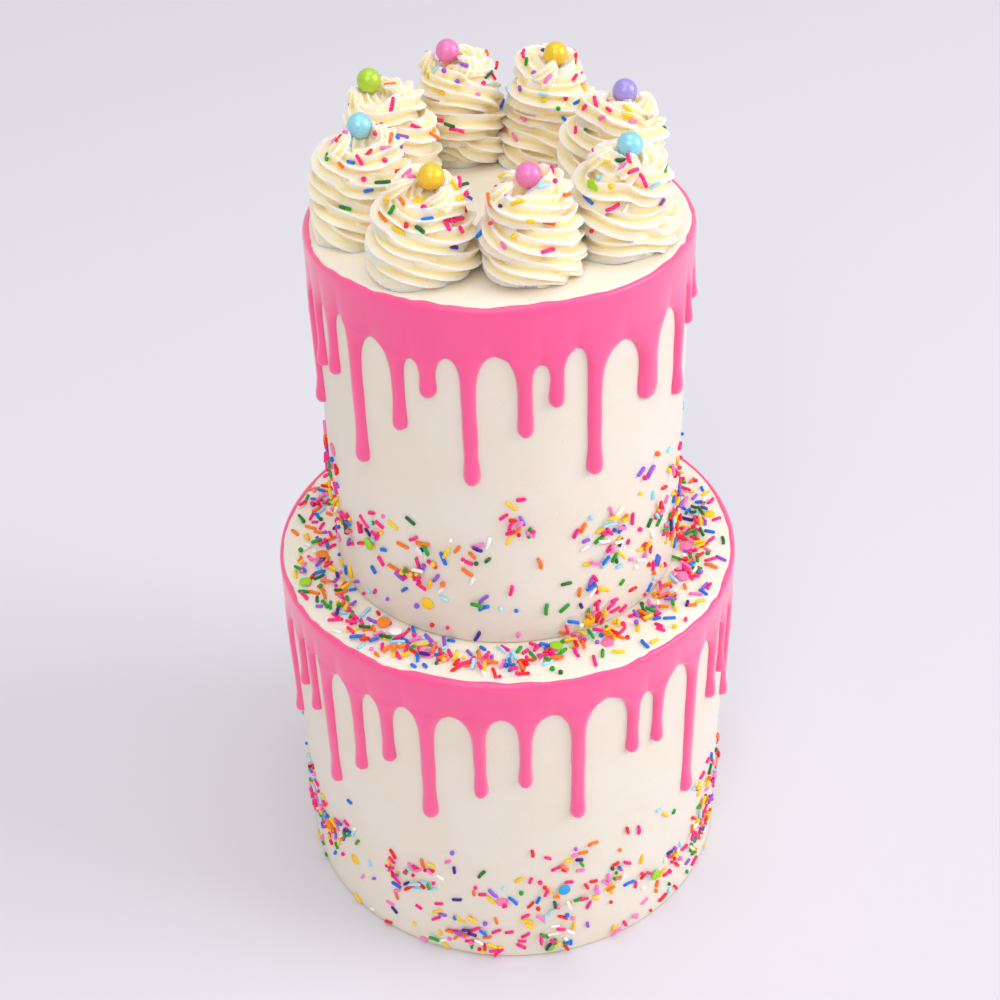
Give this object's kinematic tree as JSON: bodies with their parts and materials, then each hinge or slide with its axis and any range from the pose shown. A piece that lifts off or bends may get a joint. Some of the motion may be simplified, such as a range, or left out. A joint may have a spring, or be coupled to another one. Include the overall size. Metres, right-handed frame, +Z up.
{
  "type": "drip cake",
  "caption": "Tall two-tier buttercream cake with glaze dripping over both rims, sprinkles round the tiers and a crown of piped swirls with candy pearls.",
  "frame": {"origin": "centre of the lower tier's flat base", "axes": "+Z up through the centre of both tiers, -Y towards the front of the cake, +X to the right seen from the front"},
  "size_m": [0.2155, 0.2148, 0.3901],
  "materials": {
    "buttercream": "smooth scraped buttercream, satin",
    "piped_cream": "piped buttercream, satin",
    "pink_glaze": "set chocolate glaze, soft gloss",
    "pearl_yellow": "pearlescent sugar shell",
    "pearl_pink": "pearlescent sugar shell",
    "pearl_blue": "pearlescent sugar shell",
    "pearl_lilac": "pearlescent sugar shell",
    "pearl_green": "pearlescent sugar shell"
  },
  "bodies": {
    "root": {"lower_tier": "buttercream", "upper_tier": "buttercream", "lower_glaze": "pink_glaze", "upper_glaze": "pink_glaze", "swirl_1": "piped_cream", "swirl_2": "piped_cream", "swirl_3": "piped_cream", "swirl_4": "piped_cream", "swirl_5": "piped_cream", "swirl_6": "piped_cream", "swirl_7": "piped_cream", "swirl_8": "piped_cream", "pearl_1": "pearl_yellow", "pearl_2": "pearl_pink", "pearl_3": "pearl_blue", "pearl_4": "pearl_lilac", "pearl_5": "pearl_yellow", "pearl_6": "pearl_pink", "pearl_7": "pearl_green", "pearl_8": "pearl_blue"}
  },
  "joints": []
}
